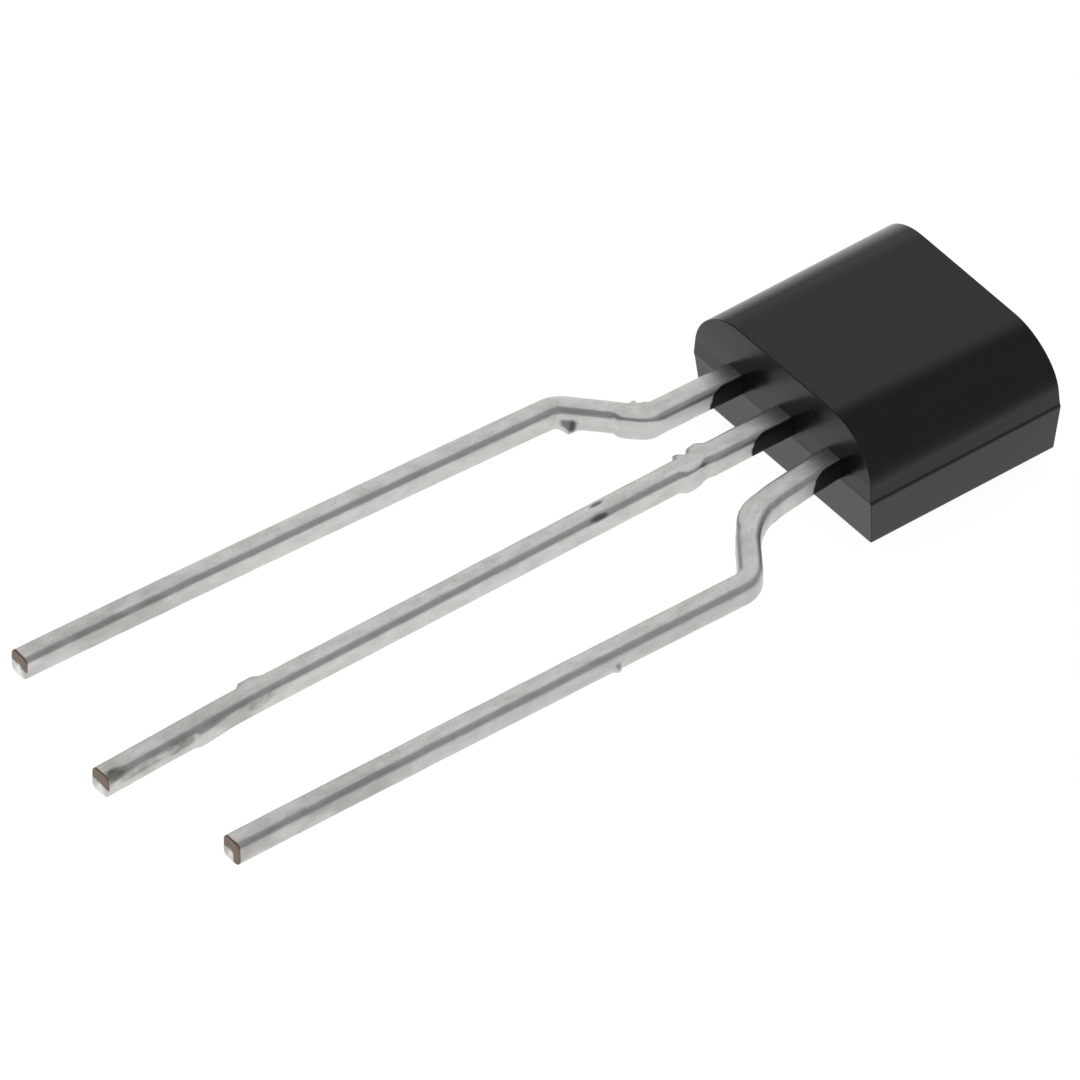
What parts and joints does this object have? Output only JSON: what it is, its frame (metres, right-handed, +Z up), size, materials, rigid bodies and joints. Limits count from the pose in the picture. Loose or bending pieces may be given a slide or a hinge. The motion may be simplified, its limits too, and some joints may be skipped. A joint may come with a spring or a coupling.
{
  "type": "to-92 transistor",
  "caption": "Small black moulded transistor with a flat back, rounded shoulders and thin tinned leads, the outer ones bent apart to suit wider board holes.",
  "frame": {"origin": "middle of the lower back edge of the case at its lead end, on the surface that the part lies on", "axes": "+X across the leads from collector to emitter, -Y towards the lead tips, +Z up with the part at rest on that edge and on the middle lead's tip"},
  "size_m": [0.0061, 0.0176, 0.0024],
  "materials": {
    "case_epoxy": "black moulded epoxy, semi-gloss",
    "tinned_lead": "satin tin plate over copper alloy, bare copper at the cut tips",
    "silicon": "polished silicon with bare metal pads",
    "bond_wire": "bright drawn wire"
  },
  "bodies": {
    "root": {"case": "case_epoxy", "collector_lead": "tinned_lead", "base_lead": "tinned_lead", "emitter_lead": "tinned_lead", "die": "silicon", "base_wire": "bond_wire", "emitter_wire": "bond_wire"}
  },
  "joints": []
}
